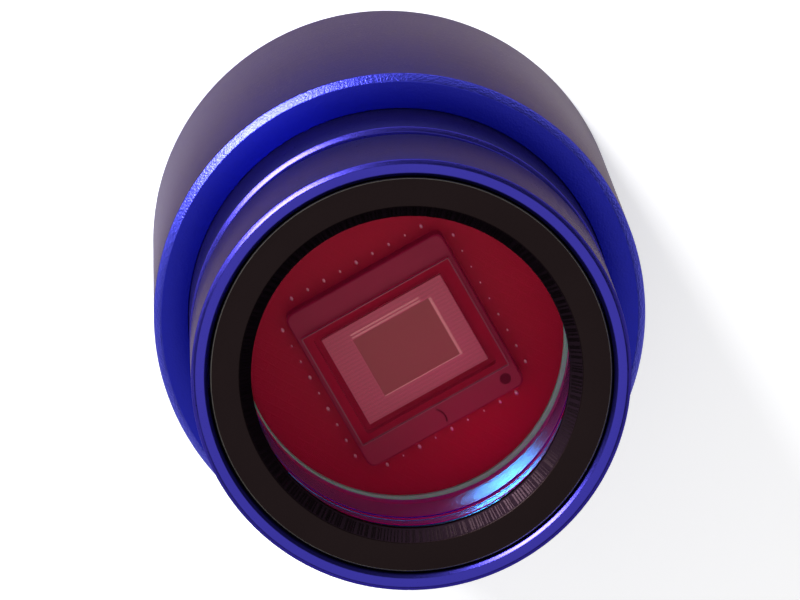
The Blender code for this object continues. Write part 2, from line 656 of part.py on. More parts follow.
def build():
    clear_scene()
    stand_axis()
    blue = finish("blue anodised aluminium", (0.035, 0.03, 0.42), 0.32, 1.0)
    black = finish("black anodised aluminium", (0.012, 0.011, 0.011), 0.4, 1.0)
    rubber = finish("black rubber", (0.015, 0.015, 0.016), 0.8)
    silicone = finish("pale silicone", (0.22, 0.25, 0.23), 0.5)
    glass = finish("coated glass", (0.32, 0.03, 0.09), 0.05)
    mask = finish("red solder mask", (0.16, 0.0, 0.012), 0.35)
    ceramic = finish("dark sensor package", (0.1, 0.012, 0.03), 0.45)
    silicon = finish("sensor silicon", (0.24, 0.05, 0.07), 0.25)
    chip_black = finish("moulded chip", (0.02, 0.02, 0.02), 0.5)
    plastic = finish("black connector plastic", (0.02, 0.02, 0.02), 0.45)
    steel = finish("nickel-plated steel", (0.6, 0.6, 0.6), 0.3, 1.0)
    gold = finish("gold-plated contact", (0.75, 0.52, 0.18), 0.25, 1.0)
    sleeve = finish("capacitor sleeve", (0.04, 0.05, 0.09), 0.4)
    screw_black = finish("black oxide steel", (0.025, 0.025, 0.027), 0.38, 1.0)

    build_nose(blue)
    build_shell(blue)
    build_window(black, rubber, glass)
    build_sensor(mask, ceramic, silicon, glass, silicone)
    build_posts(steel)
    build_boards(mask, chip_black, plastic, steel, sleeve)
    build_usb(steel, plastic)
    build_guide_jack(plastic, gold)
    build_cover(blue, rubber, screw_black)


build()
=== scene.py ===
# %% [markdown]
# # A telescope guide camera, dressed
#
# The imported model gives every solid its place. This lesson adds what the eye sees: turned edges that catch
# the light, dyed aluminium, a coated window, a red board with its image sensor, and the sockets at the rear.
# The camera stands on its rear cover with its nose up. Every new piece is made along the optical axis, with
# z = 0 at the nose rim, and one matrix carries its mesh to the camera, so no object is moved afterwards.

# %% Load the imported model
import json
import math

import bmesh
import bpy
from mathutils import Matrix, Vector


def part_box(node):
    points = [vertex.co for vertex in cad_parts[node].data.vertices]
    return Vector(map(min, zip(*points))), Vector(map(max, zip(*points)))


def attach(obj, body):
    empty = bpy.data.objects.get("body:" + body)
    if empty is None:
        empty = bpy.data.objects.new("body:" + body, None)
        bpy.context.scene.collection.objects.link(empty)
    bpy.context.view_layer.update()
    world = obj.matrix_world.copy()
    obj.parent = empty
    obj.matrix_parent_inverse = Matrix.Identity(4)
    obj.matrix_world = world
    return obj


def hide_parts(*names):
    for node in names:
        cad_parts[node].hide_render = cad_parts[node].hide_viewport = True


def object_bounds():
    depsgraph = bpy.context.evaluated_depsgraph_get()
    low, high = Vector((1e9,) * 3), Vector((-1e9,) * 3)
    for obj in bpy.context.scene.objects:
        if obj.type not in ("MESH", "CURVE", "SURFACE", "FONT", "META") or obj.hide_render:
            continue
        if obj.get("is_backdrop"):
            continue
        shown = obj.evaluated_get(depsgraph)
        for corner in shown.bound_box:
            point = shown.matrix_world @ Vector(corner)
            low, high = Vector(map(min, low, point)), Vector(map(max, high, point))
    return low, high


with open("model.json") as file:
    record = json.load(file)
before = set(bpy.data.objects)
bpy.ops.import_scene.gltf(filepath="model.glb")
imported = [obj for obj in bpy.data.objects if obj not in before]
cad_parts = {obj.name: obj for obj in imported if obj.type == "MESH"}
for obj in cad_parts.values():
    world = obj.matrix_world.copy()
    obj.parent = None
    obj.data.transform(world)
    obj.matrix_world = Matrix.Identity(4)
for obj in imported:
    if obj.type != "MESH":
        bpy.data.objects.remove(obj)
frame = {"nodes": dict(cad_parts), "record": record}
cad_low, cad_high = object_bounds()

MM = 0.001
CAMERA_BODY = "camera"
RING_BODY = "window_ring"
CARRIER_BODY = "ring_carrier"
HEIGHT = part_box("nose_barrel")[1].z
AXIS_FRAME = Matrix.Translation((0, 0, HEIGHT))


def depths(node):
    """Where a solid starts and ends along the axis, counted from the nose rim."""
    low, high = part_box(node)
    return HEIGHT - high.z, HEIGHT - low.z


def half_width(node):
    """Half of a round solid's width, which is its radius."""
    low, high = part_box(node)
    return (high.x - low.x) / 2


print("camera height", round(HEIGHT / MM, 2), "mm")
print("body radius", round(half_width("body_shell") / MM, 3), "mm")

# %% [markdown]
# ## Viewpoint
#
# The nose rim, the black ring, the shoulder and the far edge of the body are circles of known size. Their
# ellipses in the photograph give the lens, the distance and the tilt of the axis: a long lens, close to the
# axis, which leans down and a little to the right by eleven and a half degrees. The camera is set from those
# numbers instead of by eye, so every edge can be compared with the photograph.

# %% Set the camera
IMAGE_WIDTH, IMAGE_HEIGHT = 800, 600
FOCAL_PIXELS = 6620.0
RIM_DISTANCE = 475.5 * MM
RIM_PIXEL = (411.6, 376.9)
AXIS_TILT = math.radians(11.52)
AXIS_LEAN = math.radians(10.97)
FILM_WIDTH = 36.0

# The world's axes as the photograph sees them: x right, y down, z away from the viewer
world_z = Vector((
    math.sin(AXIS_TILT) * math.sin(AXIS_LEAN),
    math.sin(AXIS_TILT) * math.cos(AXIS_LEAN),
    -math.cos(AXIS_TILT),
))
image_right = Vector((1, 0, 0))
world_x = (image_right - world_z * world_z.dot(image_right)).normalized()
world_y = world_z.cross(world_x)
view_to_world = Matrix((world_x, world_y, world_z))
to_rim = Vector((
    (RIM_PIXEL[0] - IMAGE_WIDTH / 2) / FOCAL_PIXELS,
    (RIM_PIXEL[1] - IMAGE_HEIGHT / 2) / FOCAL_PIXELS,
    1,
)).normalized() * RIM_DISTANCE
eye = Vector((0, 0, HEIGHT)) - view_to_world @ to_rim

viewpoint = bpy.data.objects.new("viewpoint", bpy.data.cameras.new("viewpoint"))
viewpoint.matrix_world = Matrix.Translation(eye) @ (view_to_world @ Matrix.Diagonal((1, -1, -1))).to_4x4()
viewpoint.data.sensor_width = FILM_WIDTH
viewpoint.data.lens = FOCAL_PIXELS * FILM_WIDTH / IMAGE_WIDTH
viewpoint.data.clip_start = 0.01
bpy.context.scene.collection.objects.link(viewpoint)
bpy.context.scene.camera = viewpoint
bpy.context.scene.view_settings.view_transform = "Standard"
print("viewpoint", [round(v / MM) for v in eye], "mm, lens", round(viewpoint.data.lens), "mm")

# %% [markdown]
# ## Dyed aluminium
#
# The housing is aluminium, turned on a lathe and dyed blue-violet while it is anodised. The dye sits in a
# clear oxide skin. Seen square on, the metal below shows its colour. At a flat angle metal and skin mirror
# whatever stands around them, which turns the sides grey. So the material is a coloured metal with a tint
# of its own for the flat angle, under a clear coat.
#
# Each face carries the marks of its tool. The sides keep fine feed lines around the axis. The shoulder was
# faced in circles, which stretch a highlight. Its chamfer was blasted with fine beads, and their pits break
# a highlight up into specks. A colour is written as the screen shows it, and one function turns it into
# linear light.

# %% Helpers for finishes


def linear(hex_value):
    """An sRGB hex colour as linear light, with full alpha."""
    parts = [int(hex_value[i:i + 2], 16) / 255 for i in (1, 3, 5)]
    return (*[c / 12.92 if c <= 0.04045 else ((c + 0.055) / 1.055) ** 2.4 for c in parts], 1.0)


def add(tree, kind, links=None, **settings):
    """A node with its settings. Links go by input name or number, to a socket or to a plain value."""
    node = tree.nodes.new(kind)
    for name, value in settings.items():
        setattr(node, name, value)
    for name, value in (links or {}).items():
        if isinstance(value, bpy.types.NodeSocket):
            tree.links.new(value, node.inputs[name])
        else:
            node.inputs[name].default_value = value
    return node


def start_finish(name, **values):
    """A material with its tree and shader. Values are the shader's sockets, with _ for a space."""
    material = bpy.data.materials.new(name)
    material.use_nodes = True
    shader = material.node_tree.nodes["Principled BSDF"]
    for socket, value in values.items():
        shader.inputs[socket.replace("_", " ")].default_value = value
    return material, material.node_tree, shader


print("a mid grey in linear light:", round(linear("#808080")[0], 3))

# %% Dyed finishes
BEAD_PIT = 0.16 * MM
DYE_CLOUD = 7 * MM
FEED_LINE = 0.2 * MM
ALONG_LINES = 0.02
BLASTED, FACED, TURNED = 0.05 * MM, 0.012 * MM, 0.008 * MM
SMOOTHER, ROUGHER = 0.8, 1.25
QUARTER_TURN = 0.25
BORE_METAL = 0.94


def anodised(name, dye, deeper_dye, glance, roughness, skin, pit_depth, lathe_lines=0.0, feed=0.0):
    """Dyed aluminium. Glance is the metal's tint at a flat angle, skin the clear coat's share, lathe_lines
    the stretch of a highlight by circles, and feed the height of the feed lines against the pits."""
    material, tree, shader = start_finish(
        name, Metallic=1.0, Specular_Tint=linear(glance), Coat_Weight=skin, Coat_Roughness=0.3, Coat_IOR=1.5)
    place = add(tree, "ShaderNodeTexCoord").outputs["Object"]
    pits = add(tree, "ShaderNodeTexNoise", {"Vector": place, "Scale": 1 / BEAD_PIT, "Detail": 3.0})
    clouds = add(tree, "ShaderNodeTexNoise", {"Vector": place, "Scale": 1 / DYE_CLOUD, "Detail": 2.0})
    dyes = add(tree, "ShaderNodeMix", {0: clouds.outputs["Fac"], 6: linear(dye), 7: linear(deeper_dye)},
               data_type="RGBA")
    matt = add(tree, "ShaderNodeMapRange", {
        "Value": pits.outputs["Fac"], "To Min": roughness * SMOOTHER, "To Max": roughness * ROUGHER})
    around = add(tree, "ShaderNodeMapping", {"Vector": place, "Scale": (ALONG_LINES, ALONG_LINES, 1.0)})
    ridges = add(tree, "ShaderNodeTexNoise", {"Vector": around.outputs[0], "Scale": 1 / FEED_LINE})
    height = add(tree, "ShaderNodeMath", {0: ridges.outputs["Fac"], 1: feed, 2: pits.outputs["Fac"]},
                 operation="MULTIPLY_ADD")
    bump = add(tree, "ShaderNodeBump", {"Height": height.outputs[0], "Distance": pit_depth})
    tree.links.new(dyes.outputs[2], shader.inputs["Base Color"])
    tree.links.new(matt.outputs[0], shader.inputs["Roughness"])
    tree.links.new(bump.outputs[0], shader.inputs["Normal"])
    tree.links.new(bump.outputs[0], shader.inputs["Coat Normal"])
    if lathe_lines:
        tangent = add(tree, "ShaderNodeTangent", direction_type="RADIAL", axis="Z")
        shader.inputs["Anisotropic"].default_value = lathe_lines
        shader.inputs["Anisotropic Rotation"].default_value = QUARTER_TURN
        tree.links.new(tangent.outputs[0], shader.inputs["Tangent"])
    return material


turned_blue = anodised(
    "turned blue anodised aluminium", "#37329a", "#312c8e", "#8a6c58", 0.29, 0.09, TURNED, feed=3.0)
# The shoulder's face and chamfer have a deeper, more saturated blue than the shell's sides. This is painted
# shade from the nose and a painted reflection of the blue nose.
faced_shaded_blue = anodised(
    "faced blue aluminium, painted shade", "#0b13a0", "#091094", "#725c5a", 0.38, 0.3, FACED, lathe_lines=0.7)
blasted_shaded_blue = anodised(
    "blasted blue aluminium, painted shade", "#141cc0", "#1018b0", "#725c5a", 0.3, 0.95, BLASTED)
# The bore is the same dyed metal as the outside. Its magenta is a painted reflection of the red board.
bore_painted_magenta = anodised("bore with painted magenta reflection", "#ff14e0", "#f010d2", "#ff90e8", 0.3, 0.0, TURNED)
# The flanks' cyan is painted: it gives the lamp's highlight in the bore its cyan colour
flank_painted_cyan = anodised("thread flanks with painted cyan highlight", "#349cf0", "#2e92e4", "#ffffff", 0.19, 0.0, FACED)
black_aluminium = anodised("black anodised aluminium", "#1e1415", "#180e0f", "#3a3434", 0.42, 0.08, TURNED)

# A small diffuse share spreads the painted magenta reflection across the bore under every lamp
bore_painted_magenta.node_tree.nodes["Principled BSDF"].inputs["Metallic"].default_value = BORE_METAL
print("materials so far:", len(bpy.data.materials))

# %% [markdown]
# ## Nose barrel and body shell
#
# Both are lathe work, so each is a section of radius and depth, spun about the axis. A turned edge is never
# razor sharp: every corner of the section is eased a little, and that small round draws the bright lines of
# the photograph. Inside the nose, behind the window, two relief grooves and a fine thread against stray light
# run around the bore. They are cut into the wall, so the bore keeps its size. The thread is a saw-tooth: its
# long lands mirror the red board, and its short flanks face the low lamp. The lands also carry a painted
# magenta reflection of the board, and the flanks a painted cyan that colours the lamp's highlight into the
# cyan patch.

# %% Tools of the lathe
EASE = 0.07 * MM
KEEP_SHARP = 0.15 * MM
LATHE_STEPS = 240
SHARP_EDGE = 30
SAME_PLACE = 1e-7


def eased(section, radius=EASE, steps=3):
    """Rounds the corners of a closed section. Corners on the axis and between short edges stay."""
    points = []
    for i, corner in enumerate(section):
        here = Vector(corner)
        before = Vector(section[i - 1]) - here
        after = Vector(section[(i + 1) % len(section)]) - here
        if here.x <= 0 or min(before.length, after.length) < KEEP_SHARP:
            points.append(corner)
            continue
        start = here + before.normalized() * radius
        end = here + after.normalized() * radius
        for k in range(steps + 1):
            t = k / steps
            points.append(tuple(start * (1 - t) ** 2 + here * (2 * t * (1 - t)) + end * t ** 2))
    return points


def turned(section, steps=LATHE_STEPS):
    """Spins a closed section of (radius, depth) points about the axis. An edge on the axis is left out."""
    bm = bmesh.new()
    corners = [bm.verts.new((radius, 0, -depth)) for radius, depth in section]
    edges = []
    for i, corner in enumerate(corners):
        j = (i + 1) % len(corners)
        if section[i][0] > 0 or section[j][0] > 0:
            edges.append(bm.edges.new((corner, corners[j])))
    bmesh.ops.spin(bm, geom=corners + edges, cent=(0, 0, 0), axis=(0, 0, 1), angle=2 * math.pi, steps=steps,
                   use_merge=True)
    bmesh.ops.remove_doubles(bm, verts=bm.verts, dist=SAME_PLACE)
    return bm


def keep(name, bm, material, replaces=(), body=CAMERA_BODY, place=AXIS_FRAME):
    """A finished piece of a bmesh: faces out, carried to its place, smooth between its sharp edges."""
    bmesh.ops.recalc_face_normals(bm, faces=bm.faces)
    mesh = bpy.data.meshes.new(name)
    bm.to_mesh(mesh)
    bm.free()
    mesh.transform(place)
    mesh.shade_smooth()
    mesh.set_sharp_from_angle(angle=math.radians(SHARP_EDGE))
    mesh.materials.append(material)
    obj = bpy.data.objects.new(name, mesh)
    bpy.context.scene.collection.objects.link(obj)
    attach(obj, body)
    if replaces:
        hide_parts(*replaces)
    return obj


print("lathe:", LATHE_STEPS, "steps, corners eased by", EASE / MM, "mm")

# %% Turn the nose
NOSE_R = 15.85 * MM
RIM_BORE_R = 14.65 * MM
APERTURE_R = 12.1 * MM
POCKET_R = 14.2 * MM
RIM_CHAMFER, BORE_CHAMFER = 0.3 * MM, 0.25 * MM
GROOVE_FRONT, GROOVE_REAR, GROOVE_DEPTH, GROOVE_CHAMFER = 10.6 * MM, 13.6 * MM, 0.9 * MM, 0.3 * MM
RELIEFS = ((7.25 * MM, 0.35 * MM), (6.3 * MM, 0.3 * MM))
RELIEF_DEPTH = 0.2 * MM
THREADS = ((7.75 * MM, 16), (5.15 * MM, 4))
THREAD_PITCH, FLANK_DEPTH, FLANK_LENGTH = 0.25 * MM, 0.015 * MM, 0.0115 * MM
APERTURE_CHAMFER = 0.18 * MM
SEAT_GAP = 0.1 * MM
HAIR = 0.01 * MM
FLANK_FACING = 0.5

nose_end = depths("nose_barrel")[1]
window_ledge = depths("window_seal")[1] + SEAT_GAP
board_seat = depths("board_gasket")[0] - SEAT_GAP

root_r, floor_r = APERTURE_R + FLANK_DEPTH, APERTURE_R + RELIEF_DEPTH
cuts = []
for front, width in RELIEFS:
    rear = front + width
    cuts.append([(APERTURE_R, rear), (floor_r, rear), (floor_r, front), (APERTURE_R, front)])
for start, turns in THREADS:
    for k in range(turns):
        front, rear = start + k * THREAD_PITCH, start + (k + 1) * THREAD_PITCH
        cuts.append([(APERTURE_R, rear), (root_r, rear - FLANK_LENGTH), (APERTURE_R, front)])
cuts.sort(key=lambda cut: cut[-1][1], reverse=True)
bore = [(APERTURE_R, board_seat)]
for cut in cuts:
    bore += cut if cut[0] != bore[-1] else cut[1:]
nose_section = [
    (NOSE_R - RIM_CHAMFER, 0),
    (NOSE_R, RIM_CHAMFER),
    (NOSE_R, GROOVE_FRONT),
    (NOSE_R - GROOVE_DEPTH, GROOVE_FRONT),
    (NOSE_R - GROOVE_DEPTH, GROOVE_REAR),
    (NOSE_R - GROOVE_CHAMFER, GROOVE_REAR),
    (NOSE_R, GROOVE_REAR + GROOVE_CHAMFER),
    (NOSE_R, nose_end),
    (POCKET_R, nose_end),
    (POCKET_R, board_seat),
    *bore,
    (APERTURE_R, window_ledge + APERTURE_CHAMFER),
    (APERTURE_R + APERTURE_CHAMFER, window_ledge),
    (RIM_BORE_R, window_ledge),
    (RIM_BORE_R, BORE_CHAMFER),
    (RIM_BORE_R + BORE_CHAMFER, 0),
]
nose = keep("nose_barrel_turned", turned(eased(nose_section)), turned_blue, ["nose_barrel"])
nose.data.materials.append(bore_painted_magenta)
nose.data.materials.append(flank_painted_cyan)
# In the bore the lands take the painted magenta reflection and the flanks the painted cyan highlight
for face in nose.data.polygons:
    deep = HEIGHT - face.center.z
    inside = math.hypot(face.center.x, face.center.y) < floor_r + HAIR
    if inside and window_ledge < deep < board_seat:
        face.material_index = 2 if face.normal.z > FLANK_FACING else 1
print("nose:", len(nose.data.polygons), "faces,", len(cuts), "cuts in the bore")

# %% Turn the shell
SHOULDER_CHAMFER = 0.55 * MM
REAR_CHAMFER = 0.5 * MM
SEAM = 0.04 * MM
BODY_BORE_R = 16.5 * MM
COVER_CLEARANCE = 0.15 * MM
FACED_FACING = 0.95

shoulder, shell_rear = depths("body_shell")
BODY_R = half_width("body_shell")
COVER_RECESS_R = half_width("rear_cover") + COVER_CLEARANCE
cover_seat = depths("cover_seal")[0] - SEAT_GAP
shell_section = [
    (NOSE_R + SEAM, shoulder),
    (BODY_R - SHOULDER_CHAMFER, shoulder),
    (BODY_R, shoulder + SHOULDER_CHAMFER),
    (BODY_R, shell_rear - REAR_CHAMFER),
    (BODY_R - REAR_CHAMFER, shell_rear),
    (COVER_RECESS_R, shell_rear),
    (COVER_RECESS_R, cover_seat),
    (BODY_BORE_R, cover_seat),
    (BODY_BORE_R, nose_end),
    (NOSE_R + SEAM, nose_end),
]
shell = keep("body_shell_turned", turned(eased(shell_section)), turned_blue, ["body_shell"])
# The shoulder's faces take the deeper blue with its painted shade
shell.data.materials.append(faced_shaded_blue)
shell.data.materials.append(blasted_shaded_blue)
for face in shell.data.polygons:
    if HEIGHT - face.center.z < shoulder + SHOULDER_CHAMFER:
        face.material_index = 1 if face.normal.z > FACED_FACING else 2
print("shell:", len(shell.data.polygons), "faces")

# %% [markdown]
# ## Retaining ring
#
# The black ring screws into the nose and presses the window on its seal. The solid keeps clear of the nose.
# Here the ring is a little larger, because a real thread fills that gap. Its outer edge carries a pale
# painted highlight, and its inner bevel is matt.
#
# The bevel was cut by a tool that chattered, which left short radial strokes of uneven width. They could be
# painted as a bump, but then a close view would find the bevel smooth. Here they are real, shallow bars: one
# bar, copied around the axis by Geometry Nodes, with its angle and width varied by a fixed seed. Ring and
# bars turn with the ring's body.

# %% Copies around the axis
SHARP_COPY = 35


def new_tree(name, inputs):
    """A geometry tree with the named inputs besides its Geometry and Material."""
    tree = bpy.data.node_groups.new(name, "GeometryNodeTree")
    tree.interface.new_socket("Geometry", in_out="INPUT", socket_type="NodeSocketGeometry")
    for socket, kind in inputs.items():
        tree.interface.new_socket(socket, in_out="INPUT", socket_type=f"NodeSocket{kind}")
    tree.interface.new_socket("Material", in_out="INPUT", socket_type="NodeSocketMaterial")
    tree.interface.new_socket("Geometry", in_out="OUTPUT", socket_type="NodeSocketGeometry")
    return tree, add(tree, "NodeGroupInput").outputs


def close_tree(tree, given, copies):
    """Makes the copies real, sets their material and leaves the tree."""
    real = add(tree, "GeometryNodeRealizeInstances", {0: copies.outputs[0]})
    dressed = add(tree, "GeometryNodeSetMaterial", {0: real.outputs[0], "Material": given["Material"]})
    add(tree, "NodeGroupOutput", {0: dressed.outputs[0]})
    return tree


def grow_around_axis():
    """Copies of one mesh around the z axis, with an uneven angle and an uneven width."""
    tree, given = new_tree("copies around the axis", {
        "Count": "Int", "Uneven": "Float", "Narrowest": "Float", "Widest": "Float", "Seed": "Int"})
    spots = add(tree, "GeometryNodePoints", {"Count": given["Count"]})
    stray = add(tree, "FunctionNodeRandomValue", {
        2: 0.0, 3: given["Uneven"], "Seed": given["Seed"]}).outputs[1]
    index = add(tree, "GeometryNodeInputIndex").outputs[0]
    step = add(tree, "ShaderNodeMath", {0: index, 1: stray}, operation="ADD").outputs[0]
    share = add(tree, "ShaderNodeMath", {0: step, 1: given["Count"]}, operation="DIVIDE").outputs[0]
    angle = add(tree, "ShaderNodeMath", {0: share, 1: math.tau}, operation="MULTIPLY").outputs[0]
    turn = add(tree, "ShaderNodeCombineXYZ", {"Z": angle}).outputs[0]
    width = add(tree, "FunctionNodeRandomValue", {
        2: given["Narrowest"], 3: given["Widest"], "Seed": given["Seed"]}).outputs[1]
    size = add(tree, "ShaderNodeCombineXYZ", {"X": 1.0, "Y": width, "Z": 1.0}).outputs[0]
    copies = add(tree, "GeometryNodeInstanceOnPoints", {
        "Points": spots.outputs[0], "Instance": given["Geometry"], "Rotation": turn, "Scale": size})
    return close_tree(tree, given, copies)


def copied(name, bm, tree, inputs, material, body=CAMERA_BODY, place=AXIS_FRAME):
    """One item, copied by a geometry tree, made a plain mesh and carried to its place."""
    bmesh.ops.recalc_face_normals(bm, faces=bm.faces)
    mesh = bpy.data.meshes.new(name + "_item")
    bm.to_mesh(mesh)
    bm.free()
    obj = bpy.data.objects.new(name, mesh)
    bpy.context.scene.collection.objects.link(obj)
    modifier = obj.modifiers.new(tree.name, "NODES")
    modifier.node_group = tree
    sockets = {item.name: item.identifier for item in tree.interface.items_tree if item.in_out == "INPUT"}
    for socket, value in {**inputs, "Material": material}.items():
        modifier[sockets[socket]] = value
    graph = bpy.context.evaluated_depsgraph_get()
    made = bpy.data.meshes.new_from_object(obj.evaluated_get(graph))
    obj.modifiers.remove(modifier)
    made.name = name
    obj.data = made
    made.transform(place)
    made.shade_smooth()
    made.set_sharp_from_angle(angle=math.radians(SHARP_COPY))
    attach(obj, body)
    return obj


AROUND_AXIS = grow_around_axis()
print("tree:", AROUND_AXIS.name)

# %% Ring and its strokes
RING_BEVEL = 0.9 * MM
RING_EDGE = 0.12 * MM
RING_THREAD = 0.2 * MM
RING_INNER_R = 11.5 * MM
ALMOST_SIDE, ALMOST_FLAT = 0.01, 0.99
BEVEL_FACING = 0.1
STROKES = 300
STROKE_LENGTH, STROKE_WIDTH, STROKE_HEIGHT = 1.0 * MM, 0.1 * MM, 0.05 * MM

ring_front, ring_rear = depths("retaining_ring")
RING_R = half_width("retaining_ring") + RING_THREAD
ring_section = [
    (RING_R - RING_EDGE, ring_front),
    (RING_R, ring_front + RING_EDGE),
    (RING_R, ring_rear),
    (RING_INNER_R, ring_rear),
    (RING_INNER_R, ring_front + RING_BEVEL),
    (RING_INNER_R + RING_BEVEL, ring_front),
]
ring = keep("retaining_ring_turned", turned(eased(ring_section)), black_aluminium,
            ["retaining_ring"], RING_BODY)
# The pale colour on the eased outer edge is a painted highlight line
edge_highlight_paint = anodised("painted highlight on the black ring's edge", "#8a867c", "#45413b", "#8a867c", 0.4, 0.0, TURNED)
matt_bevel = anodised("matt black bevel", "#231820", "#1d131b", "#2e242c", 0.7, 0.0, TURNED)
ring.data.materials.append(edge_highlight_paint)
ring.data.materials.append(matt_bevel)
for face in ring.data.polygons:
    radius = math.hypot(face.center.x, face.center.y)
    at_edge = abs(radius - RING_R + RING_EDGE) < EASE and ALMOST_SIDE < face.normal.z < ALMOST_FLAT
    at_bevel = RING_INNER_R < radius < RING_INNER_R + RING_BEVEL - EASE and face.normal.z > BEVEL_FACING
    face.material_index = 1 if at_edge else 2 if at_bevel else 0

worn_black = anodised("worn black bevel", "#251b20", "#1d1519", "#251b20", 0.45, 0.0, TURNED)
stroke = bmesh.new()
bmesh.ops.create_cube(stroke, size=1)
on_bevel = (
    Matrix.Translation((RING_INNER_R + RING_BEVEL / 2, 0, -(ring_front + RING_BEVEL / 2)))
    @ Matrix.Rotation(-math.pi / 4, 4, "Y")
    @ Matrix.Diagonal((STROKE_LENGTH, STROKE_WIDTH, STROKE_HEIGHT, 1))
)
bmesh.ops.transform(stroke, matrix=on_bevel, verts=stroke.verts)
strokes = copied(
    "retaining_ring_strokes", stroke, AROUND_AXIS,
    {"Count": STROKES, "Uneven": 0.8, "Narrowest": 0.4, "Widest": 1.5, "Seed": 7},
    worn_black, RING_BODY,
)
print("ring strokes:", len(strokes.data.polygons), "faces")

# %% [markdown]
# ## Window
#
# The window is a flat filter glass with a thin coating that mirrors magenta. A solid glass shader would bend
# light and darken the sensor behind it. A thin pane needs neither, so the finish mixes a clear film with a
# tinted mirror, and the mirror's share grows towards a flat angle.

# %% Pane of coated glass


def clear_pane(name, film_tint, mirror_tint, square_on, flat_on):
    """A clear film mixed with a mirror, whose share runs from square on to flat on."""
    material, tree, shader = start_finish(name, Base_Color=linear(mirror_tint), Metallic=1.0, Roughness=0.05)
    film = add(tree, "ShaderNodeBsdfTransparent", {"Color": linear(film_tint)})
    facing = add(tree, "ShaderNodeLayerWeight", {"Blend": 0.2}).outputs["Facing"]
    share = add(tree, "ShaderNodeMapRange", {"Value": facing, "To Min": square_on, "To Max": flat_on})
    mix = add(tree, "ShaderNodeMixShader", {0: share.outputs[0], 1: film.outputs[0], 2: shader.outputs[0]})
    tree.links.new(mix.outputs[0], tree.nodes["Material Output"].inputs["Surface"])
    return material


window_coating = clear_pane("magenta-coated filter glass", "#fff4f6", "#b02050", 0.03, 0.35)
GLASS_EDGE = 0.15 * MM
glass_front, glass_rear = depths("window_glass")
GLASS_R = half_width("window_glass")
glass_section = [
    (0, glass_front),
    (GLASS_R - GLASS_EDGE, glass_front),
    (GLASS_R, glass_front + GLASS_EDGE),
    (GLASS_R, glass_rear - GLASS_EDGE),
    (GLASS_R - GLASS_EDGE, glass_rear),
    (0, glass_rear),
]
keep("window_pane", turned(glass_section), window_coating, ["window_glass"])
print("window:", round(2 * GLASS_R / MM, 1), "mm across")

# %% [markdown]
# ## Sensor board
#
# The board is glass-fibre laminate under a red solder mask. Copper below the mask shows as slightly paler
# paths. Around the sensor, where its solder reaches the board, small bright dots of tin stand in a row at
# each side. They are one flattened drop, copied along four rows by Geometry Nodes, uneven by a fixed seed.

# %% Board
SENSOR_ROLL = math.radians(29.3)
SENSOR_DROP = 0.6 * MM
SENSOR_FRAME = AXIS_FRAME @ Matrix.Translation((0, -SENSOR_DROP, 0)) @ Matrix.Rotation(SENSOR_ROLL, 4, "Z")
BOARD_EDGE = 0.08 * MM
DISC_STEPS = 128
TRACK_CELL = 2.6 * MM
COPPER_CLOUD = 3 * MM
LACQUER_STEP = 0.02 * MM


def solder_mask(name, colour, over_copper):
    """Red lacquer. Brick joints, broken up by noise, stand for the copper paths below it."""
    material, tree, shader = start_finish(name, Roughness=0.45, Specular_IOR_Level=0.15)
    place = add(tree, "ShaderNodeTexCoord").outputs["Object"]
    turned_place = add(tree, "ShaderNodeMapping", {"Vector": place, "Rotation": (0, 0, SENSOR_ROLL)})
    paths = add(tree, "ShaderNodeTexBrick", {
        "Vector": turned_place.outputs[0], "Scale": 1 / TRACK_CELL, "Mortar Size": 0.03, "Mortar Smooth": 0.6,
        "Color1": (0, 0, 0, 1), "Color2": (0.2, 0.2, 0.2, 1), "Mortar": (1, 1, 1, 1)})
    broken = add(tree, "ShaderNodeTexNoise", {"Vector": place, "Scale": 1 / COPPER_CLOUD, "Detail": 2.0})
    copper = add(tree, "ShaderNodeMath", {0: paths.outputs["Color"], 1: broken.outputs["Fac"]},
                 operation="MULTIPLY").outputs[0]
    colours = add(tree, "ShaderNodeMix", {0: copper, 6: linear(colour), 7: linear(over_copper)},
                  data_type="RGBA")
    bump = add(tree, "ShaderNodeBump", {"Height": copper, "Distance": LACQUER_STEP, "Strength": 0.3})
    tree.links.new(colours.outputs[2], shader.inputs["Base Color"])
    tree.links.new(bump.outputs[0], shader.inputs["Normal"])
    return material


red_mask = solder_mask("red solder mask on laminate", "#a00022", "#ae0c2e")
board_front, board_rear = depths("sensor_board")
BOARD_R = half_width("sensor_board")
board_section = [
    (0, board_front),
    (BOARD_R - BOARD_EDGE, board_front),
    (BOARD_R, board_front + BOARD_EDGE),
    (BOARD_R, board_rear),
    (0, board_rear),
]
keep("sensor_board_disc", turned(board_section, DISC_STEPS), red_mask, ["sensor_board"])
print("board:", round(2 * BOARD_R / MM, 1), "mm across")

# %% Drops of tin
DROP_WIDTH, DROP_LENGTH, DROP_HEIGHT = 0.28 * MM, 0.44 * MM, 0.2 * MM
SENSOR_SIDES, DROPS_PER_SIDE, DROP_PITCH, DROP_ROW = 4, 9, 1.37 * MM, 7.22 * MM
WIPE_LINE, WIPE_STRETCH = 0.2 * MM, 0.06
BRIGHTER, DULLER = 0.93, 1.08


